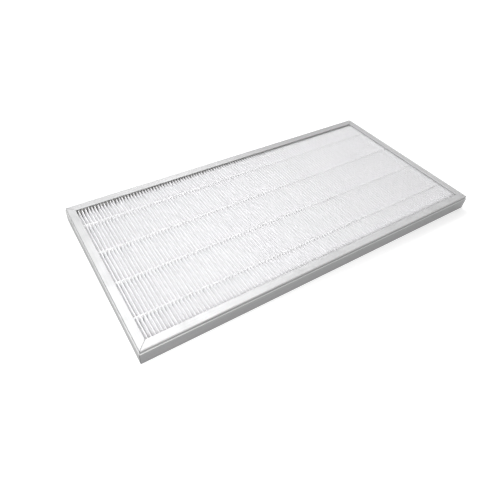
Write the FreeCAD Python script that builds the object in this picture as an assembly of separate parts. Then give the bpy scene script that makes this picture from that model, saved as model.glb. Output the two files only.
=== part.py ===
import FreeCAD, Part
import math
import os
from FreeCAD import Vector

# Pleated panel air filter, lying flat. Millimetres, +X along the long side,
# +Y away from the front rail, +Z up, origin at the middle of the underside.

# Overall size, over the outer walls
frame_length = 592.0
frame_width = 287.0
frame_height = 25.0

# Extruded rail section
wall = 1.2
flange_width = 12.2       # from the lip's outer face to the flange's inner edge
lip_height = 4.6          # the lip under the top flange, down to the ledge
lip_step = 1.2            # how far the lip stands back from the outer wall
chamber_width = 4.8       # hollow between outer wall and inner web, for the keys
outer_edge_radius = 0.6
flange_edge_radius = 0.5

# Opening of each mitre, across the cut
front_left_gap = 0.5
front_right_gap = 0.2
back_right_gap = 0.8
back_left_gap = 0.4

# Corner keys
key_clearance = 0.15
key_leg_length = 34.0
key_chamfer = 1.2
key_notches = 4
key_notch_start = 4.5     # from the end of a leg
key_notch_pitch = 6.0
key_notch_width = 1.6
key_notch_depth = 0.5

# Sealant beds around the pack
sealant_thickness = 2.0
sealant_lip = 1.0

# Folded media
media_thickness = 0.5
pleat_depth = 21.0
pleat_count = 115
crest_flats = 3           # flats that round the outside of each fold

# Separator bead rows on each face of the pack
bead_rows = 4
bead_edge = 40.0          # from the pack's long edges to the first and last rows
bead_width = 1.8
bead_setback = 0.5        # from the tips of the pleats down to the bead

# Places across a rail, measured inwards from its outer face
web_outer = wall + chamber_width
web_inner = web_outer + wall
pack_edge = web_inner + sealant_thickness
flange_inner = lip_step + flange_width

# Heights
ledge_top = frame_height - lip_height
flange_underside = frame_height - wall
pack_bottom = (frame_height - pleat_depth) / 2
pack_top = pack_bottom + pleat_depth

# Pack in plan
pack_length = frame_length - 2 * pack_edge
pack_width = frame_width - 2 * pack_edge

# Each side of the frame: turn about Z, length along it, distance of its
# outer face from the middle, and the mitre gaps at its two ends
sides = {
    "front": (0, frame_length, frame_width / 2, front_left_gap, front_right_gap),
    "right": (90, frame_width, frame_length / 2, front_right_gap, back_right_gap),
    "back": (180, frame_length, frame_width / 2, back_right_gap, back_left_gap),
    "left": (270, frame_width, frame_length / 2, back_left_gap, front_left_gap),
}

# Each corner: the turn about Z from the front left one, and its place
corners = {
    "front_left": (0, -frame_length / 2, -frame_width / 2),
    "front_right": (90, frame_length / 2, -frame_width / 2),
    "back_right": (180, frame_length / 2, frame_width / 2),
    "back_left": (270, -frame_length / 2, frame_width / 2),
}


def polygon(points):
    return Part.makePolygon(points + points[:1])


def rounded_outline(corner_list):
    """Closed wire through (point, radius) corners, with a tangent arc at each radius."""
    count = len(corner_list)
    starts, ends, middles = [], [], []
    for i, (point, radius) in enumerate(corner_list):
        before = (corner_list[i - 1][0] - point).normalize()
        after = (corner_list[(i + 1) % count][0] - point).normalize()
        half_angle = before.getAngle(after) / 2
        setback = radius / math.tan(half_angle)
        bisector = (before + after).normalize()
        starts.append(point + before * setback)
        ends.append(point + after * setback)
        middles.append(point + bisector * (radius / math.sin(half_angle) - radius))
    edges = []
    for i, (point, radius) in enumerate(corner_list):
        if radius > 0:
            edges.append(Part.Arc(starts[i], middles[i], ends[i]).toShape())
        edges.append(Part.LineSegment(ends[i], starts[(i + 1) % count]).toShape())
    return Part.Wire(edges)


def rail_section():
    """Hollow channel section in the YZ plane: Y inwards from the outer face, Z up."""
    outer = [
        ((0, 0), outer_edge_radius),
        ((0, ledge_top), outer_edge_radius),
        ((lip_step, ledge_top), 0),
        ((lip_step, frame_height), outer_edge_radius),
        ((flange_inner, frame_height), flange_edge_radius),
        ((flange_inner, flange_underside), 0),
        ((web_inner, flange_underside), 0),
        ((web_inner, wall), 0),
        ((flange_inner, wall), 0),
        ((flange_inner, 0), flange_edge_radius),
    ]
    chamber = [
        (wall, wall),
        (wall, ledge_top - wall),
        (lip_step + wall, ledge_top - wall),
        (lip_step + wall, flange_underside),
        (web_outer, flange_underside),
        (web_outer, wall),
    ]
    outline = rounded_outline([(Vector(0, y, z), radius) for (y, z), radius in outer])
    hollow = polygon([Vector(0, y, z) for y, z in chamber])
    return Part.Face(outline).cut(Part.Face(hollow))


def sealant_section():
    """Bed that fills the rail's pocket and grips the edge of the pack with two lips."""
    lip_end = pack_edge + sealant_lip
    points = [
        (web_inner, wall),
        (web_inner, flange_underside),
        (lip_end, flange_underside),
        (lip_end, pack_top),
        (pack_edge, pack_top),
        (pack_edge, pack_bottom),
        (lip_end, pack_bottom),
        (lip_end, wall),
    ]
    return Part.Face(polygon([Vector(0, y, z) for y, z in points]))


def mitred_length(section, length, gap_before, gap_after):
    """The section run along X and cut at 45 degrees at both ends, half of each gap back."""
    run = section.extrude(Vector(length, 0, 0))
    run.translate(Vector(-length / 2, 0, 0))
    start = -length / 2 + gap_before / math.sqrt(2)
    end = length / 2 - gap_after / math.sqrt(2)
    depth = run.BoundBox.YMax
    plan = [
        Vector(start, 0, 0),
        Vector(end, 0, 0),
        Vector(end - depth, depth, 0),
        Vector(start + depth, depth, 0),
    ]
    return run.common(Part.Face(polygon(plan)).extrude(Vector(0, 0, frame_height)))


def place_side(shape, turn, distance):
    shape.translate(Vector(0, -distance, 0))
    shape.rotate(Vector(0, 0, 0), Vector(0, 0, 1), turn)
    return shape


def rail(side):
    turn, length, distance, gap_before, gap_after = sides[side]
    run = mitred_length(rail_section(), length, gap_before, gap_after)
    return place_side(run, turn, distance)


def sealant_bed(side):
    turn, length, distance = sides[side][:3]
    return place_side(mitred_length(sealant_section(), length, 0, 0), turn, distance)


def corner_key(corner):
    """L-shaped key in the chambers, with lead-in chamfers and gripping notches."""
    near = wall + key_clearance
    far = web_outer - key_clearance
    tip = near + key_leg_length
    leg = [(near + key_chamfer, near), (tip - key_chamfer, near), (tip, near + key_chamfer)]
    leg += [(tip, far - key_chamfer), (tip - key_chamfer, far)]
    for i in range(key_notches):
        notch = tip - key_notch_start - i * key_notch_pitch
        leg += [(notch, far), (notch - key_notch_width / 2, far - key_notch_depth)]
        leg += [(notch - key_notch_width, far)]
    other_leg = [(y, x) for x, y in reversed(leg)]
    plan = [Vector(x, y, wall + key_clearance) for x, y in leg + [(far, far)] + other_leg]
    height = ledge_top - 2 * wall - 2 * key_clearance
    key = Part.Face(polygon(plan)).extrude(Vector(0, 0, height))
    turn, x, y = corners[corner]
    key.rotate(Vector(0, 0, 0), Vector(0, 0, 1), turn)
    key.translate(Vector(x, y, 0))
    return key


# Pleat shape. Each fold turns about a crease on the sheet's inner face, and
# the legs lean by the angle that keeps the sheet's thickness from fold to fold.
pleat_pitch = (pack_length - 2 * media_thickness) / pleat_count
fold_rise = pleat_depth - 2 * media_thickness
fold_reach = math.hypot(pleat_pitch / 2, fold_rise)
leg_lean = math.acos(media_thickness / fold_reach) - math.atan2(fold_rise, pleat_pitch / 2)
crest_places = [(i - (pleat_count - 1) / 2) * pleat_pitch for i in range(pleat_count)]
trough_places = [x + pleat_pitch / 2 for x in crest_places[:-1]]
trough_crease = pack_bottom + media_thickness
crest_crease = pack_top - media_thickness


def fold_corners(x, crease, outward):
    """Corners of the sheet's outer face round the fold about a crease, from left to right."""
    step = (math.pi - 2 * leg_lean) / (crest_flats + 1)
    reach = media_thickness / math.cos(step / 2)
    angles = [math.pi - leg_lean - step * (i + 0.5) for i in range(crest_flats + 1)]
    return [(x + reach * math.cos(a), crease + outward * reach * math.sin(a)) for a in angles]


def pleat_pack():
    """One sheet: an upright leaf at each end, bonded to its bed, and the folds between."""
    half_length = pack_length / 2
    leaf = half_length - media_thickness
    upper = [(-half_length, pack_top), (-leaf, pack_top), (-leaf, trough_crease)]
    lower = [(-half_length, pack_bottom)]
    lower += [(x, z) for x, z in fold_corners(-leaf, trough_crease, -1) if x > -leaf]
    for crest, trough in zip(crest_places, trough_places + [leaf]):
        upper += fold_corners(crest, crest_crease, 1) + [(trough, trough_crease)]
        lower += [(crest, crest_crease)]
        lower += [(x, z) for x, z in fold_corners(trough, trough_crease, -1) if x < leaf]
    upper += [(leaf, pack_top), (half_length, pack_top)]
    lower += [(half_length, pack_bottom)]
    outline = [Vector(x, -pack_width / 2, z) for x, z in upper + lower[::-1]]
    return Part.Face(polygon(outline)).extrude(Vector(0, pack_width, 0))


def bead_row(row, places, crease, outward):
    """Wedges of hot melt, one in each fold, from the fold's crease to just inside the tips."""
    spacing = (pack_width - 2 * bead_edge) / (bead_rows - 1)
    y = -pack_width / 2 + bead_edge + row * spacing - bead_width / 2
    rise = fold_rise + media_thickness - bead_setback
    half_top = rise * math.tan(leg_lean)
    wedges = []
    for x in places:
        points = [
            Vector(x, y, crease),
            Vector(x + half_top, y, crease + outward * rise),
            Vector(x - half_top, y, crease + outward * rise),
        ]
        wedges.append(Part.Face(polygon(points)).extrude(Vector(0, bead_width, 0)))
    return Part.makeCompound(wedges)


def main():
    nodes = {}
    for side in sides:
        nodes[side + "_rail"] = rail(side)
        nodes[side + "_sealant"] = sealant_bed(side)
    for corner in corners:
        nodes["corner_key_" + corner] = corner_key(corner)
    nodes["pleat_pack"] = pleat_pack()
    for row in range(bead_rows):
        nodes["upper_bead_row_%d" % (row + 1)] = bead_row(row, trough_places, trough_crease, 1)
        nodes["lower_bead_row_%d" % (row + 1)] = bead_row(row, crest_places, crest_crease, -1)
    os.makedirs("parts", exist_ok=True)
    for name, shape in nodes.items():
        shape.exportStep("parts/%s.step" % name)
        print(name, len(shape.Solids), "solids", round(shape.Volume), "mm3", shape.isValid())


main()
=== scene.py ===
import math

import bpy
from mathutils import Matrix, Vector


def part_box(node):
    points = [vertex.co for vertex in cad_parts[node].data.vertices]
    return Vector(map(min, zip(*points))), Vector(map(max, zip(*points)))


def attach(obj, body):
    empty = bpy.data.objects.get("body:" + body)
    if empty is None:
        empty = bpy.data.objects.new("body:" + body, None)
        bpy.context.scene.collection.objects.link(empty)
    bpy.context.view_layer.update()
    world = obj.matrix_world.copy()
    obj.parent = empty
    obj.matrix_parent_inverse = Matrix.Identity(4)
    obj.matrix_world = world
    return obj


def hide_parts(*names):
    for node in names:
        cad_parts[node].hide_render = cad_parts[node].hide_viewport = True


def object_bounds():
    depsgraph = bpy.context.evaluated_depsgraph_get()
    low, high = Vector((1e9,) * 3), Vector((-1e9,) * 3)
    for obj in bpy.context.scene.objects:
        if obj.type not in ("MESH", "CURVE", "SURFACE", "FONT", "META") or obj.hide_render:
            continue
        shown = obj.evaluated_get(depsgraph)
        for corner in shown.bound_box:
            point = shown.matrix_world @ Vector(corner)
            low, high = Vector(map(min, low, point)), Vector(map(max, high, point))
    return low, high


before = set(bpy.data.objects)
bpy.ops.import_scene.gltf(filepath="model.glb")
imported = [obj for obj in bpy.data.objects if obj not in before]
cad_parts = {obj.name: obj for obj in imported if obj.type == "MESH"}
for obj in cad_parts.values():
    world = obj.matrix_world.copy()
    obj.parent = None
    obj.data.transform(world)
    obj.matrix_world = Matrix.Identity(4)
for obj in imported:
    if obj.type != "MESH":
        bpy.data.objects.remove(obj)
cadLow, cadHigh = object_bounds()
millimetre = 0.001


def linearColour(code):
    # sRGB hex to the linear values that the shaders take
    channels = [int(code[i:i + 2], 16) / 255 for i in (0, 2, 4)]
    linear = [c / 12.92 if c <= 0.04045 else ((c + 0.055) / 1.055) ** 2.4 for c in channels]
    return (*linear, 1.0)


def addNode(tree, kind, inputs=None, **settings):
    # a value goes to the socket; another socket, or a node's first output, is linked to it
    node = tree.nodes.new(kind)
    for name, value in settings.items():
        setattr(node, name, value)
    for key, value in (inputs or {}).items():
        if isinstance(value, bpy.types.Node):
            value = value.outputs[0]
        if isinstance(value, bpy.types.NodeSocket):
            tree.links.new(value, node.inputs[key])
        else:
            node.inputs[key].default_value = value
    return node


# fitted to the photograph
camera = {
    "place": (-0.3623, -0.4068, 0.4674),
    "target": (-0.0880, 0.0032, 0.0),
    "roll": math.radians(3.468),
    "sensor": 36,
    "lens": 31.156,
    "shift": (0.0459, -0.0399),
    "clipStart": 10 * millimetre,
}


def makeCamera():
    lens = bpy.data.cameras.new("camera")
    lens.sensor_width = camera["sensor"]
    lens.lens = camera["lens"]
    lens.shift_x, lens.shift_y = camera["shift"]
    lens.clip_start = camera["clipStart"]
    viewer = bpy.data.objects.new("camera", lens)
    place = Vector(camera["place"])
    turn = (Vector(camera["target"]) - place).to_track_quat("-Z", "Y").to_matrix().to_4x4()
    viewer.matrix_world = Matrix.Translation(place) @ turn @ Matrix.Rotation(camera["roll"], 4, "Z")
    bpy.context.scene.collection.objects.link(viewer)
    bpy.context.scene.camera = viewer


makeCamera()
print("camera made")


def newMaterial(name):
    # with the coordinates that its patterns follow
    material = bpy.data.materials.new(name)
    material.use_nodes = True
    tree = material.node_tree
    tree.nodes.clear()
    return material, tree, addNode(tree, "ShaderNodeTexCoord").outputs["Object"]


extrusion = {
    "dark": "8A8A8B",
    "light": "949494",
    "lineSpacing": 1.1 * millimetre,    # really about 0.2 mm, drawn coarser to show
    "lineLength": 70 * millimetre,
    "lineDepth": 0.15 * millimetre,
    "lineRoughness": 0.03,              # added or taken off along a line
    "markSize": 28 * millimetre,
    "polished": 0.42,                   # roughness between the marks
    "dull": 0.5,                        # and on them
    # lighter colour painted along the ledge and the flange's outer edge as a highlight
    "paintedHighlight": "BEBEBE",
    "highlightEdges": {
        # name: how far below the top, and how far from there the painted highlight is full and has faded out
        "ledge": (4.6 * millimetre, 0.5 * millimetre, 0.8 * millimetre),
        "flange": (0.8 * millimetre, 0.3 * millimetre, 0.6 * millimetre),
    },
}


def makeExtrudedAluminium(name, lineSize):
    # mill finish aluminium, extruded: satin grey metal, its shine drawn out across straight die
    # lines, with a few dull handling marks
    material, tree, coordinates = newMaterial(name)
    stretched = addNode(tree, "ShaderNodeMapping", {
        "Vector": coordinates,
        "Scale": tuple(1 / size for size in lineSize),
    })
    dieLines = addNode(tree, "ShaderNodeTexNoise", {
        "Vector": stretched,
        "Scale": 1.0,
        "Detail": 3.0,
        "Roughness": 0.6,
    })
    marks = addNode(tree, "ShaderNodeTexNoise", {
        "Vector": coordinates,
        "Scale": 1 / extrusion["markSize"],
        "Detail": 5.0,
        "Roughness": 0.62,
        "Distortion": 0.4,
    })
    lineTone = addNode(tree, "ShaderNodeMapRange", {"Value": dieLines, "From Min": 0.3, "From Max": 0.7})
    colour = addNode(tree, "ShaderNodeMix", {
        "Factor": lineTone,
        "A": linearColour(extrusion["dark"]),
        "B": linearColour(extrusion["light"]),
    }, data_type="RGBA")

    # painted highlights: the ledge's top and the flange's outer edge drawn lighter where they catch the
    # light, in bands at set depths below the top
    height = addNode(tree, "ShaderNodeSeparateXYZ", {0: coordinates}).outputs["Z"]
    paintedHighlight = 0.0
    for drop, full, faded in extrusion["highlightEdges"].values():
        offset = addNode(tree, "ShaderNodeMath", {0: height, 1: cadHigh.z - drop}, operation="SUBTRACT")
        away = addNode(tree, "ShaderNodeMath", {0: offset}, operation="ABSOLUTE")
        glint = addNode(tree, "ShaderNodeMapRange", {
            "Value": away,
            "From Min": full,
            "From Max": faded,
            "To Min": 1.0,
            "To Max": 0.0,
        })
        paintedHighlight = addNode(tree, "ShaderNodeMath", {0: glint, 1: paintedHighlight}, operation="MAXIMUM")
    # mixes the painted highlight into the metal's colour
    highlightedColour = addNode(tree, "ShaderNodeMix", {
        "Factor": paintedHighlight,
        "A": colour.outputs["Result"],
        "B": linearColour(extrusion["paintedHighlight"]),
    }, data_type="RGBA")

    lineRough = addNode(tree, "ShaderNodeMapRange", {
        "Value": dieLines,
        "From Min": 0.3,
        "From Max": 0.7,
        "To Min": -extrusion["lineRoughness"],
        "To Max": extrusion["lineRoughness"],
    })
    markRough = addNode(tree, "ShaderNodeMapRange", {
        "Value": marks,
        "From Min": 0.4,
        "From Max": 0.7,
        "To Min": extrusion["polished"],
        "To Max": extrusion["dull"],
    })
    roughness = addNode(tree, "ShaderNodeMath", {0: lineRough, 1: markRough}, operation="ADD")
    bump = addNode(tree, "ShaderNodeBump", {
        "Height": dieLines,
        "Strength": 1.0,
        "Distance": extrusion["lineDepth"],
    })
    shader = addNode(tree, "ShaderNodeBsdfPrincipled", {
        "Base Color": highlightedColour.outputs["Result"],
        "Metallic": 1.0,
        "Roughness": roughness,
        "Normal": bump,
    })
    addNode(tree, "ShaderNodeOutputMaterial", {"Surface": shader})
    return material


dieCasting = {
    "dark": "7D7E80",
    "light": "939495",
    "flowSize": 9 * millimetre,
    "grainSize": 0.9 * millimetre,
    "grainDepth": 0.05 * millimetre,
    "roughness": 0.55,
}


def makeCastAluminium():
    # pressure die cast aluminium: dull, slightly darker, with a fine orange peel skin
    material, tree, coordinates = newMaterial("castAluminium")
    grain = addNode(tree, "ShaderNodeTexNoise", {
        "Vector": coordinates,
        "Scale": 1 / dieCasting["grainSize"],
        "Detail": 3.0,
    })
    flow = addNode(tree, "ShaderNodeTexNoise", {
        "Vector": coordinates,
        "Scale": 1 / dieCasting["flowSize"],
        "Detail": 2.0,
    })
    colour = addNode(tree, "ShaderNodeMix", {
        "Factor": flow,
        "A": linearColour(dieCasting["dark"]),
        "B": linearColour(dieCasting["light"]),
    }, data_type="RGBA")
    bump = addNode(tree, "ShaderNodeBump", {
        "Height": grain,
        "Strength": 0.5,
        "Distance": dieCasting["grainDepth"],
    })
    shader = addNode(tree, "ShaderNodeBsdfPrincipled", {
        "Base Color": colour.outputs["Result"],
        "Metallic": 1.0,
        "Roughness": dieCasting["roughness"],
        "Normal": bump,
    })
    addNode(tree, "ShaderNodeOutputMaterial", {"Surface": shader})
    return material


paper = {
    "dark": "E8E8E9",
    "light": "EEEDEF",
    "cloudSize": 7 * millimetre,
    "feltSize": 0.8 * millimetre,       # fibres are far finer, drawn coarser to show
    "feltDepth": 0.08 * millimetre,
    "roughness": 0.95,
    "ior": 1.5,
    "specular": 0.2,
    "sheen": 0.08,
    "sheenRoughness": 0.6,
}


def makeFibrePaper():
    # wet-laid glass fibre paper: chalk white and fully matte, cloudy where the fibres settled
    # thicker, with a faint felted surface
    material, tree, coordinates = newMaterial("fibrePaper")
    clouds = addNode(tree, "ShaderNodeTexNoise", {
        "Vector": coordinates,
        "Scale": 1 / paper["cloudSize"],
        "Detail": 4.0,
        "Roughness": 0.6,
    })
    felt = addNode(tree, "ShaderNodeTexNoise", {
        "Vector": coordinates,
        "Scale": 1 / paper["feltSize"],
        "Detail": 3.0,
        "Roughness": 0.7,
        "Distortion": 1.2,
    })
    cloudTone = addNode(tree, "ShaderNodeMapRange", {"Value": clouds, "From Min": 0.3, "From Max": 0.7})
    colour = addNode(tree, "ShaderNodeMix", {
        "Factor": cloudTone,
        "A": linearColour(paper["dark"]),
        "B": linearColour(paper["light"]),
    }, data_type="RGBA")
    bump = addNode(tree, "ShaderNodeBump", {
        "Height": felt,
        "Strength": 0.4,
        "Distance": paper["feltDepth"],
    })
    shader = addNode(tree, "ShaderNodeBsdfPrincipled", {
        "Base Color": colour.outputs["Result"],
        "Roughness": paper["roughness"],
        "IOR": paper["ior"],
        "Specular IOR Level": paper["specular"],
        "Sheen Weight": paper["sheen"],
        "Sheen Roughness": paper["sheenRoughness"],
        "Normal": bump,
    })
    addNode(tree, "ShaderNodeOutputMaterial", {"Surface": shader})
    return material


adhesive = {
    "dark": "E0E0E1",
    "light": "EAEAEB",
    "rippleSize": 1.5 * millimetre,
    "rippleDepth": 0.1 * millimetre,
    "roughness": 0.38,
    "ior": 1.48,
    "milkiness": 0.6,
    "lightDepth": 2 * millimetre,       # how far light spreads in it, the same for every colour
}


def makeHotMelt():
    # hot melt adhesive, laid as a string: milky, waxy white with a soft shine
    material, tree, coordinates = newMaterial("hotMelt")
    ripple = addNode(tree, "ShaderNodeTexNoise", {
        "Vector": coordinates,
        "Scale": 1 / adhesive["rippleSize"],
        "Detail": 2.0,
    })
    colour = addNode(tree, "ShaderNodeMix", {
        "Factor": ripple,
        "A": linearColour(adhesive["dark"]),
        "B": linearColour(adhesive["light"]),
    }, data_type="RGBA")
    bump = addNode(tree, "ShaderNodeBump", {
        "Height": ripple,
        "Strength": 0.3,
        "Distance": adhesive["rippleDepth"],
    })
    shader = addNode(tree, "ShaderNodeBsdfPrincipled", {
        "Base Color": colour.outputs["Result"],
        "Roughness": adhesive["roughness"],
        "IOR": adhesive["ior"],
        "Subsurface Weight": adhesive["milkiness"],
        "Subsurface Radius": (1.0, 1.0, 1.0),
        "Subsurface Scale": adhesive["lightDepth"],
        "Normal": bump,
    })
    addNode(tree, "ShaderNodeOutputMaterial", {"Surface": shader})
    return material


potting = {
    "dark": "C9C8C4",
    "light": "DAD9D5",
    "waveSize": 14 * millimetre,
    "bubbleSize": 3 * millimetre,
    "bubbleHeight": 0.3,                # beside the waves
    "skinDepth": 0.3 * millimetre,
    "roughness": 0.5,
    "ior": 1.5,
}


def makePottingCompound():
    # poured polyurethane potting: off-white, half matt, slow waves and small bubbles on its skin
    material, tree, coordinates = newMaterial("pottingCompound")
    waves = addNode(tree, "ShaderNodeTexNoise", {
        "Vector": coordinates,
        "Scale": 1 / potting["waveSize"],
        "Detail": 2.0,
    })
    bubbles = addNode(tree, "ShaderNodeTexVoronoi", {
        "Vector": coordinates,
        "Scale": 1 / potting["bubbleSize"],
        "Randomness": 1.0,
    })
    pits = addNode(tree, "ShaderNodeMapRange", {
        "Value": bubbles.outputs["Distance"],
        "From Min": 0.05,
        "From Max": 0.22,
    })
    height = addNode(tree, "ShaderNodeMath", {
        0: pits,
        1: potting["bubbleHeight"],
        2: waves,
    }, operation="MULTIPLY_ADD")
    colour = addNode(tree, "ShaderNodeMix", {
        "Factor": waves,
        "A": linearColour(potting["dark"]),
        "B": linearColour(potting["light"]),
    }, data_type="RGBA")
    bump = addNode(tree, "ShaderNodeBump", {
        "Height": height,
        "Strength": 0.4,
        "Distance": potting["skinDepth"],
    })
    shader = addNode(tree, "ShaderNodeBsdfPrincipled", {
        "Base Color": colour.outputs["Result"],
        "Roughness": potting["roughness"],
        "IOR": potting["ior"],
        "Normal": bump,
    })
    addNode(tree, "ShaderNodeOutputMaterial", {"Surface": shader})
    return material


# die lines run along each rail
spacing, length = extrusion["lineSpacing"], extrusion["lineLength"]
longRailMetal = makeExtrudedAluminium("extrudedAluminiumLongRails", (length, spacing, spacing))
shortRailMetal = makeExtrudedAluminium("extrudedAluminiumShortRails", (spacing, length, spacing))
castAluminium = makeCastAluminium()
fibrePaper = makeFibrePaper()
hotMelt = makeHotMelt()
pottingCompound = makePottingCompound()
print("materials made")


def dress(name, material):
    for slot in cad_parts[name].material_slots:
        slot.material = material


railMetals = {
    "front": longRailMetal,
    "back": longRailMetal,
    "left": shortRailMetal,
    "right": shortRailMetal,
}
for side, metal in railMetals.items():
    dress(side + "_rail", metal)
    dress(side + "_sealant", pottingCompound)
for corner in ("front_left", "front_right", "back_right", "back_left"):
    dress("corner_key_" + corner, castAluminium)
print("rails, keys and beds dressed")


folds = {
    "count": 115,
    "thickness": 0.5 * millimetre,
    "foldRadius": 0.5 * millimetre,     # to the middle of the sheet
    "jitter": 0.33 * millimetre,        # how far a fold strays along the pack
    "sink": 0.35 * millimetre,          # how far a fold falls short of the pack's face
    "wave": 0.35 * millimetre,          # how far a leg wanders between two bead rows
    "waveLength": 45 * millimetre,      # along a fold
    "waveStep": 0.31,                   # from one fold to the next, as a share of a wave
    "arcPoints": 5,                     # round each fold
    "rows": 27,                         # of points, across the sheet's width
    "placeSeed": 7,
    "sinkSeed": 57,
}
beads = {
    "rows": 4,
    "setback": 0.5 * millimetre,        # from the tips of the folds
    "slump": 0.35 * millimetre,         # extra fall of a bead's mouth
    "crown": 0.35 * millimetre,         # from the middle of the mouth down to its two faces
    "drift": 0.25 * millimetre,         # how far a bead strays from its row
    "smallest": 0.8,                    # a bead's width, as a share of the row's
    "largest": 1.2,
    "waist": 0.36,                      # half its width between the legs, as a share of its width
    "foot": 0.5,                        # and half its width on them
    "sizeSeed": 11,
    "driftSeed": 12,
    "slumpSeed": 13,
}

packLow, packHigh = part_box("pleat_pack")
packLength = packHigh.x - packLow.x
packWidth = packHigh.y - packLow.y
foldPitch = (packLength - 2 * folds["thickness"]) / folds["count"]
edgeToMiddle = folds["thickness"] / 2 + folds["foldRadius"]   # from the pack's face to a fold's centre
troughHeight = packLow.z + edgeToMiddle
crestHeight = packHigh.z - edgeToMiddle

# a leg touches the circles of two folds, so it stands more upright than the line between their centres
legRise = crestHeight - troughHeight
legReach = math.hypot(foldPitch / 2, legRise)
legLean = math.atan2(foldPitch / 2, legRise) - math.asin(2 * folds["foldRadius"] / legReach)

rowBoxes = [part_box("upper_bead_row_%d" % (i + 1)) for i in range(beads["rows"])]
rowPlaces = [(rowLow.y + rowHigh.y) / 2 for rowLow, rowHigh in rowBoxes]
rowWidth = rowBoxes[0][1].y - rowBoxes[0][0].y

# what every tree that follows the folds is given
foldValues = {
    "Folds": folds["count"],
    "Pitch": foldPitch,
    "End Place": packLength / 2 - edgeToMiddle,
    "Trough Height": troughHeight,
    "Crest Height": crestHeight,
    "Jitter": folds["jitter"],
    "Sink": folds["sink"],
    "Place Seed": folds["placeSeed"],
    "Sink Seed": folds["sinkSeed"],
}
sheetValues = {
    **foldValues,
    "Length": packLength,
    "Width": packWidth,
    "Top": packHigh.z,
    "Thickness": folds["thickness"],
    "Fold Radius": folds["foldRadius"],
    "Leg Lean": legLean,
    "Arc Points": folds["arcPoints"],
    "Rows": folds["rows"],
    "Wave": folds["wave"],
    "Wave Length": folds["waveLength"],
    "Wave Step": folds["waveStep"],
    "First Bead Row": rowPlaces[0],
    "Bead Spacing": rowPlaces[1] - rowPlaces[0],
    "Material": fibrePaper,
}
beadValues = {
    **foldValues,
    "Count": 0,
    "First Turn": 0,
    "Row Place": 0.0,
    "Bead Width": rowWidth,
    "Fold Radius": folds["foldRadius"],
    "Mouth Rise": edgeToMiddle - beads["setback"],
    "Slump": beads["slump"],
    "Crown": beads["crown"],
    "Drift": beads["drift"],
    "Smallest": beads["smallest"],
    "Largest": beads["largest"],
    "Waist": beads["waist"],
    "Foot": beads["foot"],
    "Size Seed": beads["sizeSeed"],
    "Drift Seed": beads["driftSeed"],
    "Slump Seed": beads["slumpSeed"],
    "Material": hotMelt,
}
socketKinds = {int: "NodeSocketInt", float: "NodeSocketFloat", bpy.types.Material: "NodeSocketMaterial"}


def newTree(name, values, outputs):
    # one input for each value, of the value's own kind
    tree = bpy.data.node_groups.new(name, "GeometryNodeTree")
    for label, value in values.items():
        tree.interface.new_socket(label, in_out="INPUT", socket_type=socketKinds[type(value)])
    for label, kind in outputs.items():
        tree.interface.new_socket(label, in_out="OUTPUT", socket_type=kind)
    return tree, addNode(tree, "NodeGroupInput").outputs


def makeFoldPlace():
    # where fold number Turn lies: odd ones are crests, even ones troughs
    places = {"X": "NodeSocketFloat", "Z": "NodeSocketFloat", "Side": "NodeSocketFloat"}
    tree, given = newTree("foldPlace", {"Turn": 0, **foldValues}, places)
    steps = addNode(tree, "ShaderNodeMath", {0: given["Turn"], 1: given["Folds"]}, operation="SUBTRACT")
    halfPitch = addNode(tree, "ShaderNodeMath", {0: given["Pitch"], 1: 0.5}, operation="MULTIPLY")
    even = addNode(tree, "ShaderNodeMath", {0: steps, 1: halfPitch}, operation="MULTIPLY")
    stray = addNode(tree, "FunctionNodeRandomValue", {
        "Min": -1.0,
        "Max": 1.0,
        "ID": given["Turn"],
        "Seed": given["Place Seed"],
    }, data_type="FLOAT").outputs["Value"]
    placed = addNode(tree, "ShaderNodeMath", {
        0: stray,
        1: given["Jitter"],
        2: even,
    }, operation="MULTIPLY_ADD")
    farEnd = addNode(tree, "ShaderNodeMath", {0: given["End Place"], 1: -1.0}, operation="MULTIPLY")
    x = addNode(tree, "ShaderNodeClamp", {"Value": placed, "Min": farEnd, "Max": given["End Place"]})

    isCrest = addNode(tree, "ShaderNodeMath", {0: given["Turn"], 1: 2.0}, operation="MODULO")
    side = addNode(tree, "ShaderNodeMath", {0: isCrest, 1: 2.0, 2: -1.0}, operation="MULTIPLY_ADD")
    level = addNode(tree, "ShaderNodeMix", {
        "Factor": isCrest,
        "A": given["Trough Height"],
        "B": given["Crest Height"],
    }, data_type="FLOAT")
    fall = addNode(tree, "FunctionNodeRandomValue", {
        "Min": 0.0,
        "Max": given["Sink"],
        "ID": given["Turn"],
        "Seed": given["Sink Seed"],
    }, data_type="FLOAT").outputs["Value"]
    inwards = addNode(tree, "ShaderNodeMath", {0: fall, 1: side}, operation="MULTIPLY")
    z = addNode(tree, "ShaderNodeMath", {0: level, 1: inwards}, operation="SUBTRACT")
    addNode(tree, "NodeGroupOutput", {"X": x, "Z": z, "Side": side})
    return tree


foldPlace = makeFoldPlace()


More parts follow.
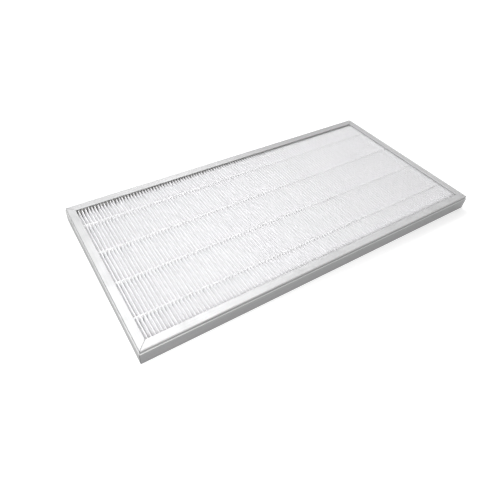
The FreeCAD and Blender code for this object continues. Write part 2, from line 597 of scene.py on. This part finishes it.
def makeSheetTree():
    # a flat grid whose columns are bent round one fold after another
    tree, given = newTree("foldedSheet", sheetValues, {"Geometry": "NodeSocketGeometry"})
    turns = addNode(tree, "ShaderNodeMath", {0: given["Folds"], 1: 2.0, 2: 1.0}, operation="MULTIPLY_ADD")
    columns = addNode(tree, "ShaderNodeMath", {
        0: turns,
        1: given["Arc Points"],
        2: 2.0,
    }, operation="MULTIPLY_ADD")
    span = addNode(tree, "ShaderNodeMath", {0: columns, 1: 1.0}, operation="SUBTRACT")
    flat = addNode(tree, "GeometryNodeMeshGrid", {
        "Size X": span,
        "Size Y": given["Width"],
        "Vertices X": columns,
        "Vertices Y": given["Rows"],
    })
    position = addNode(tree, "GeometryNodeInputPosition")
    across, along = addNode(tree, "ShaderNodeSeparateXYZ", {0: position}).outputs[:2]

    # which fold a column belongs to, and its step round that fold; the first and last columns, a step
    # outside the folds, are the tops of the end leaves
    halfSpan = addNode(tree, "ShaderNodeMath", {0: span, 1: 0.5, 2: -1.0}, operation="MULTIPLY_ADD")
    column = addNode(tree, "ShaderNodeMath", {0: across, 1: halfSpan}, operation="ADD")
    whole = addNode(tree, "ShaderNodeMath", {0: column}, operation="ROUND")
    ratio = addNode(tree, "ShaderNodeMath", {0: whole, 1: given["Arc Points"]}, operation="DIVIDE")
    lower = addNode(tree, "ShaderNodeMath", {0: ratio}, operation="FLOOR")
    lastTurn = addNode(tree, "ShaderNodeMath", {0: turns, 1: 1.0}, operation="SUBTRACT")
    turn = addNode(tree, "ShaderNodeClamp", {"Value": lower, "Min": 0.0, "Max": lastTurn})
    before = addNode(tree, "ShaderNodeMath", {0: turn, 1: given["Arc Points"]}, operation="MULTIPLY")
    step = addNode(tree, "ShaderNodeMath", {0: whole, 1: before}, operation="SUBTRACT")
    lastStep = addNode(tree, "ShaderNodeMath", {0: given["Arc Points"], 1: 1.0}, operation="SUBTRACT")
    fromLeg = addNode(tree, "ShaderNodeMath", {0: math.pi, 1: given["Leg Lean"]}, operation="SUBTRACT")
    angle = addNode(tree, "ShaderNodeMapRange", {
        "Value": step,
        "From Max": lastStep,
        "To Min": fromLeg,
        "To Max": given["Leg Lean"],
    })
    fold = addNode(tree, "GeometryNodeGroup", {
        "Turn": turn,
        **{label: given[label] for label in foldValues},
    }, node_tree=foldPlace).outputs

    # legs wander between the bead rows, which hold them
    fromRow = addNode(tree, "ShaderNodeMath", {0: along, 1: given["First Bead Row"]}, operation="SUBTRACT")
    phase = addNode(tree, "ShaderNodeMath", {0: fromRow, 1: given["Bead Spacing"]}, operation="DIVIDE")
    halfTurns = addNode(tree, "ShaderNodeMath", {0: phase, 1: math.pi}, operation="MULTIPLY")
    swell = addNode(tree, "ShaderNodeMath", {0: halfTurns}, operation="SINE")
    slack = addNode(tree, "ShaderNodeMath", {0: swell}, operation="ABSOLUTE")
    alongFold = addNode(tree, "ShaderNodeMath", {0: along, 1: given["Wave Length"]}, operation="DIVIDE")
    acrossFolds = addNode(tree, "ShaderNodeMath", {0: turn, 1: given["Wave Step"]}, operation="MULTIPLY")
    wavePlace = addNode(tree, "ShaderNodeCombineXYZ", {"X": acrossFolds, "Y": alongFold})
    noise = addNode(tree, "ShaderNodeTexNoise", {"Vector": wavePlace, "Scale": 1.0, "Detail": 1.5})
    swing = addNode(tree, "ShaderNodeMapRange", {
        "Value": noise,
        "From Min": 0.25,
        "From Max": 0.75,
        "To Min": -1.0,
        "To Max": 1.0,
    })
    reach = addNode(tree, "ShaderNodeMath", {0: given["Wave"], 1: slack}, operation="MULTIPLY")
    wander = addNode(tree, "ShaderNodeMath", {0: swing, 1: reach, 2: fold["X"]}, operation="MULTIPLY_ADD")

    cosine = addNode(tree, "ShaderNodeMath", {0: angle}, operation="COSINE")
    sine = addNode(tree, "ShaderNodeMath", {0: angle}, operation="SINE")
    bentX = addNode(tree, "ShaderNodeMath", {
        0: cosine,
        1: given["Fold Radius"],
        2: wander,
    }, operation="MULTIPLY_ADD")
    rise = addNode(tree, "ShaderNodeMath", {0: sine, 1: given["Fold Radius"]}, operation="MULTIPLY")
    bentZ = addNode(tree, "ShaderNodeMath", {
        0: rise,
        1: fold["Side"],
        2: fold["Z"],
    }, operation="MULTIPLY_ADD")

    # the end leaves stand upright against their beds
    halfThick = addNode(tree, "ShaderNodeMath", {0: given["Thickness"], 1: 0.5}, operation="MULTIPLY")
    halfLength = addNode(tree, "ShaderNodeMath", {0: given["Length"], 1: 0.5}, operation="MULTIPLY")
    leafPlace = addNode(tree, "ShaderNodeMath", {0: halfLength, 1: halfThick}, operation="SUBTRACT")
    whichEnd = addNode(tree, "ShaderNodeMath", {0: across}, operation="SIGN")
    leafX = addNode(tree, "ShaderNodeMath", {0: leafPlace, 1: whichEnd}, operation="MULTIPLY")
    halfStep = addNode(tree, "ShaderNodeMath", {0: lastStep, 1: 0.5}, operation="MULTIPLY")
    fromMiddle = addNode(tree, "ShaderNodeMath", {0: step, 1: halfStep}, operation="SUBTRACT")
    away = addNode(tree, "ShaderNodeMath", {0: fromMiddle}, operation="ABSOLUTE")
    limit = addNode(tree, "ShaderNodeMath", {0: given["Arc Points"], 1: 0.5}, operation="MULTIPLY")
    isLeaf = addNode(tree, "ShaderNodeMath", {0: away, 1: limit}, operation="GREATER_THAN")
    x = addNode(tree, "ShaderNodeMix", {"Factor": isLeaf, "A": bentX, "B": leafX}, data_type="FLOAT")
    z = addNode(tree, "ShaderNodeMix", {"Factor": isLeaf, "A": bentZ, "B": given["Top"]}, data_type="FLOAT")

    place = addNode(tree, "ShaderNodeCombineXYZ", {"X": x, "Y": along, "Z": z})
    bent = addNode(tree, "GeometryNodeSetPosition", {"Geometry": flat, "Position": place})
    smooth = addNode(tree, "GeometryNodeSetShadeSmooth", {"Geometry": bent})
    real = addNode(tree, "GeometryNodeRealizeInstances", {"Geometry": smooth})
    dressed = addNode(tree, "GeometryNodeSetMaterial", {"Geometry": real, "Material": given["Material"]})
    addNode(tree, "NodeGroupOutput", {"Geometry": dressed})
    return tree


def makeBeadTree():
    # one block for each fold, its sides drawn out to the two legs and its top to the fold's mouth
    tree, given = newTree("beadRow", beadValues, {"Geometry": "NodeSocketGeometry"})
    line = addNode(tree, "GeometryNodeMeshLine", {"Count": given["Count"], "Offset": (0.0, 0.0, 0.0)})
    index = addNode(tree, "GeometryNodeInputIndex")
    number = addNode(tree, "ShaderNodeMath", {
        0: index,
        1: 2.0,
        2: given["First Turn"],
    }, operation="MULTIPLY_ADD")
    numbered = addNode(tree, "GeometryNodeStoreNamedAttribute", {
        "Geometry": line,
        "Name": "turn",
        "Value": number,
    }, data_type="INT", domain="POINT")
    # from -1 to 1 across and along, and made real first, because every block gets a form of its own
    block = addNode(tree, "GeometryNodeMeshCube", {
        "Size": (2.0, 2.0, 1.0),
        "Vertices X": 3,
        "Vertices Y": 3,
        "Vertices Z": 4,
    })
    blocks = addNode(tree, "GeometryNodeInstanceOnPoints", {"Points": numbered, "Instance": block})
    real = addNode(tree, "GeometryNodeRealizeInstances", {"Geometry": blocks})
    turn = addNode(tree, "GeometryNodeInputNamedAttribute", {"Name": "turn"}, data_type="INT")
    position = addNode(tree, "GeometryNodeInputPosition")
    across, along, up = addNode(tree, "ShaderNodeSeparateXYZ", {0: position}).outputs
    height = addNode(tree, "ShaderNodeMath", {0: up, 1: 0.5}, operation="ADD")

    places = []
    for offset in (-1.0, 0.0, 1.0):
        neighbour = addNode(tree, "ShaderNodeMath", {0: turn, 1: offset}, operation="ADD")
        places.append(addNode(tree, "GeometryNodeGroup", {
            "Turn": neighbour,
            **{label: given[label] for label in foldValues},
        }, node_tree=foldPlace).outputs)
    left, own, right = places

    # the two legs at this height, to the middle of the sheet
    radius = given["Fold Radius"]
    footLeft = addNode(tree, "ShaderNodeMath", {0: own["X"], 1: radius}, operation="SUBTRACT")
    footRight = addNode(tree, "ShaderNodeMath", {0: own["X"], 1: radius}, operation="ADD")
    mouthLeft = addNode(tree, "ShaderNodeMath", {0: left["X"], 1: radius}, operation="ADD")
    mouthRight = addNode(tree, "ShaderNodeMath", {0: right["X"], 1: radius}, operation="SUBTRACT")
    leftLeg = addNode(tree, "ShaderNodeMix", {
        "Factor": height,
        "A": footLeft,
        "B": mouthLeft,
    }, data_type="FLOAT")
    rightLeg = addNode(tree, "ShaderNodeMix", {
        "Factor": height,
        "A": footRight,
        "B": mouthRight,
    }, data_type="FLOAT")
    # a block in a crest hangs upside down, so it is turned about too, and its faces stay outwards
    otherSide = addNode(tree, "ShaderNodeMath", {0: own["Side"], 1: -1.0}, operation="MULTIPLY")
    x = addNode(tree, "ShaderNodeMapRange", {
        "Value": across,
        "From Min": own["Side"],
        "From Max": otherSide,
        "To Min": leftLeg,
        "To Max": rightLeg,
    })

    # narrower between the legs than on them, each a little different
    nearLeg = addNode(tree, "ShaderNodeMath", {0: across, 1: across}, operation="MULTIPLY")
    spread = addNode(tree, "ShaderNodeMapRange", {
        "Value": nearLeg,
        "To Min": given["Waist"],
        "To Max": given["Foot"],
    })
    size = addNode(tree, "FunctionNodeRandomValue", {
        "Min": given["Smallest"],
        "Max": given["Largest"],
        "ID": turn,
        "Seed": given["Size Seed"],
    }, data_type="FLOAT").outputs["Value"]
    share = addNode(tree, "ShaderNodeMath", {0: spread, 1: size}, operation="MULTIPLY")
    halfWidth = addNode(tree, "ShaderNodeMath", {0: share, 1: given["Bead Width"]}, operation="MULTIPLY")
    stray = addNode(tree, "FunctionNodeRandomValue", {
        "Min": -1.0,
        "Max": 1.0,
        "ID": turn,
        "Seed": given["Drift Seed"],
    }, data_type="FLOAT").outputs["Value"]
    middle = addNode(tree, "ShaderNodeMath", {
        0: stray,
        1: given["Drift"],
        2: given["Row Place"],
    }, operation="MULTIPLY_ADD")
    y = addNode(tree, "ShaderNodeMath", {0: along, 1: halfWidth, 2: middle}, operation="MULTIPLY_ADD")

    # from the fold's own crease to the mouth, crowned across the bead
    crease = addNode(tree, "ShaderNodeMath", {
        0: own["Side"],
        1: radius,
        2: own["Z"],
    }, operation="MULTIPLY_ADD")
    tips = addNode(tree, "ShaderNodeMix", {"Factor": 0.5, "A": left["Z"], "B": right["Z"]}, data_type="FLOAT")
    fall = addNode(tree, "FunctionNodeRandomValue", {
        "Min": 0.0,
        "Max": given["Slump"],
        "ID": turn,
        "Seed": given["Slump Seed"],
    }, data_type="FLOAT").outputs["Value"]
    nearFace = addNode(tree, "ShaderNodeMath", {0: along, 1: along}, operation="MULTIPLY")
    drop = addNode(tree, "ShaderNodeMath", {
        0: nearFace,
        1: given["Crown"],
        2: fall,
    }, operation="MULTIPLY_ADD")
    mouthRise = addNode(tree, "ShaderNodeMath", {0: given["Mouth Rise"], 1: drop}, operation="SUBTRACT")
    inwards = addNode(tree, "ShaderNodeMath", {0: mouthRise, 1: own["Side"]}, operation="MULTIPLY")
    mouth = addNode(tree, "ShaderNodeMath", {0: tips, 1: inwards}, operation="SUBTRACT")
    z = addNode(tree, "ShaderNodeMix", {"Factor": height, "A": crease, "B": mouth}, data_type="FLOAT")

    place = addNode(tree, "ShaderNodeCombineXYZ", {"X": x, "Y": y, "Z": z})
    drawn = addNode(tree, "GeometryNodeSetPosition", {"Geometry": real, "Position": place})
    smooth = addNode(tree, "GeometryNodeSetShadeSmooth", {"Geometry": drawn})
    dressed = addNode(tree, "GeometryNodeSetMaterial", {"Geometry": smooth, "Material": given["Material"]})
    addNode(tree, "NodeGroupOutput", {"Geometry": dressed})
    return tree


def grow(name, tree, values, thickness=None):
    # runs a tree on an empty object and keeps the result as a plain mesh
    piece = bpy.data.objects.new(name, bpy.data.meshes.new(name))
    bpy.context.scene.collection.objects.link(piece)
    modifier = piece.modifiers.new("grow", "NODES")
    modifier.node_group = tree
    for item in tree.interface.items_tree:
        if item.item_type == "SOCKET" and item.in_out == "INPUT":
            modifier[item.identifier] = values[item.name]
    if thickness:
        wall = piece.modifiers.new("thickness", "SOLIDIFY")
        wall.thickness = thickness
        wall.offset = 0
    evaluated = piece.evaluated_get(bpy.context.evaluated_depsgraph_get())
    grown = bpy.data.meshes.new_from_object(evaluated)
    grown.name = name
    piece.modifiers.clear()
    piece.data = grown
    return piece


sheet = grow("folded_media", makeSheetTree(), sheetValues, folds["thickness"])
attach(sheet, "root")
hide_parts("pleat_pack")
print("media folded", len(sheet.data.polygons), "faces")

# lower beads hang in the crests, which are the odd turns, and upper ones stand in the troughs between
beadTree = makeBeadTree()
for face, firstTurn, count in (("upper", 2, folds["count"] - 1), ("lower", 1, folds["count"])):
    for i, rowPlace in enumerate(rowPlaces):
        row = grow("%s_beads_%d" % (face, i + 1), beadTree, {
            **beadValues,
            "Count": count,
            "First Turn": firstTurn,
            "Row Place": rowPlace,
        })
        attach(row, "root")
        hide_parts("%s_bead_row_%d" % (face, i + 1))
print("beads laid")


studio = {
    "worldLevel": 0.06,                 # of the world's light on the object
    "floorSize": 30.0,
    "floorGap": 0.1 * millimetre,       # keeps the floor off the rails' undersides
    "floorColour": "CFCFCF",
    "nearGlow": 0.6,                    # under the object
    "glowFrom": 0.45,                   # metres from the middle, where the glow starts to grow
    "glowTo": 1.2,                      # and where it is full
    "lamps": {
        # name: place, aimed at, size, watts
        "softboxBack": ((0.05, 0.95, 1.1), (0.0, 0.0, 0.0), (1.2, 0.8), 9.5),
        "softboxRight": ((1.35, 0.6, 0.9), (0.0, 0.0, 0.0), (0.9, 0.7), 2.6),
        "overMiddle": ((0.55, 0.38, 0.85), (0.05, -0.14, 0.0), (1.2, 0.15), 3.4),
        "overLeft": ((-0.1, 0.28, 0.6), (-0.2, -0.1, 0.0), (0.65, 0.25), 1.2),
        "aboveLeft": ((-0.37, -0.05, 0.38), (-0.3, -0.05, 0.0), (0.2, 0.4), 0.8),
        "besideLeft": ((-0.62, 0.0, 0.5), (-0.2, 0.0, 0.0), (0.4, 0.5), 0.25),
        "nearCamera": ((-0.45, -0.55, 0.65), (-0.2, -0.05, 0.0), (0.4, 0.4), 2.0),
        "frontLeft": ((-0.35, -0.8, 0.5), (-0.2, -0.14, 0.0), (0.4, 0.3), 1.8),
    },
}


def seenByEye(tree):
    # 1 where the eye, a shine or glass meets the background, 0 where it lights the object
    path = addNode(tree, "ShaderNodeLightPath").outputs
    mirrored = addNode(tree, "ShaderNodeMath", {
        0: path["Is Camera Ray"],
        1: path["Is Glossy Ray"],
    }, operation="MAXIMUM")
    return addNode(tree, "ShaderNodeMath", {
        0: mirrored,
        1: path["Is Transmission Ray"],
    }, operation="MAXIMUM")


def makeWorld():
    world = bpy.data.worlds.new("studio")
    bpy.context.scene.world = world
    world.use_nodes = True
    tree = world.node_tree
    tree.nodes.clear()
    level = addNode(tree, "ShaderNodeMapRange", {
        "Value": seenByEye(tree),
        "To Min": studio["worldLevel"],
        "To Max": 1.0,
    })
    sky = addNode(tree, "ShaderNodeBackground", {"Color": linearColour("FFFFFF"), "Strength": level})
    addNode(tree, "ShaderNodeOutputWorld", {"Surface": sky})


def makeWhiteSweep():
    # matt white sweep, bright enough to the eye to pass for a white page, and more so further out,
    # where the lamps fall off
    material, tree, coordinates = newMaterial("whiteSweep")
    distance = addNode(tree, "ShaderNodeVectorMath", {0: coordinates}, operation="LENGTH")
    level = addNode(tree, "ShaderNodeMapRange", {
        "Value": distance.outputs["Value"],
        "From Min": studio["glowFrom"],
        "From Max": studio["glowTo"],
        "To Min": studio["nearGlow"],
        "To Max": 1.0,
    })
    glow = addNode(tree, "ShaderNodeMath", {0: seenByEye(tree), 1: level}, operation="MULTIPLY")
    matt = addNode(tree, "ShaderNodeBsdfDiffuse", {"Color": linearColour(studio["floorColour"])})
    light = addNode(tree, "ShaderNodeEmission", {"Strength": glow})
    both = addNode(tree, "ShaderNodeAddShader", {0: matt, 1: light})
    addNode(tree, "ShaderNodeOutputMaterial", {"Surface": both})
    return material


def makeFloor():
    half = studio["floorSize"] / 2
    outline = ((-half, -half), (half, -half), (half, half), (-half, half))
    mesh = bpy.data.meshes.new("floor")
    mesh.from_pydata([(x, y, -studio["floorGap"]) for x, y in outline], [], [(0, 1, 2, 3)])
    mesh.materials.append(makeWhiteSweep())
    floor = bpy.data.objects.new("floor", mesh)
    bpy.context.scene.collection.objects.link(floor)


def makeLamps():
    for name, (place, target, size, watts) in studio["lamps"].items():
        lamp = bpy.data.lights.new(name, "AREA")
        lamp.shape = "RECTANGLE"
        lamp.size, lamp.size_y = size
        lamp.energy = watts
        holder = bpy.data.objects.new(name, lamp)
        holder.visible_camera = False
        holder.location = place
        holder.rotation_euler = (Vector(target) - Vector(place)).to_track_quat("-Z", "Y").to_euler()
        bpy.context.scene.collection.objects.link(holder)


makeWorld()
makeFloor()
makeLamps()
bpy.context.scene.view_settings.view_transform = "Standard"
print("studio lit")
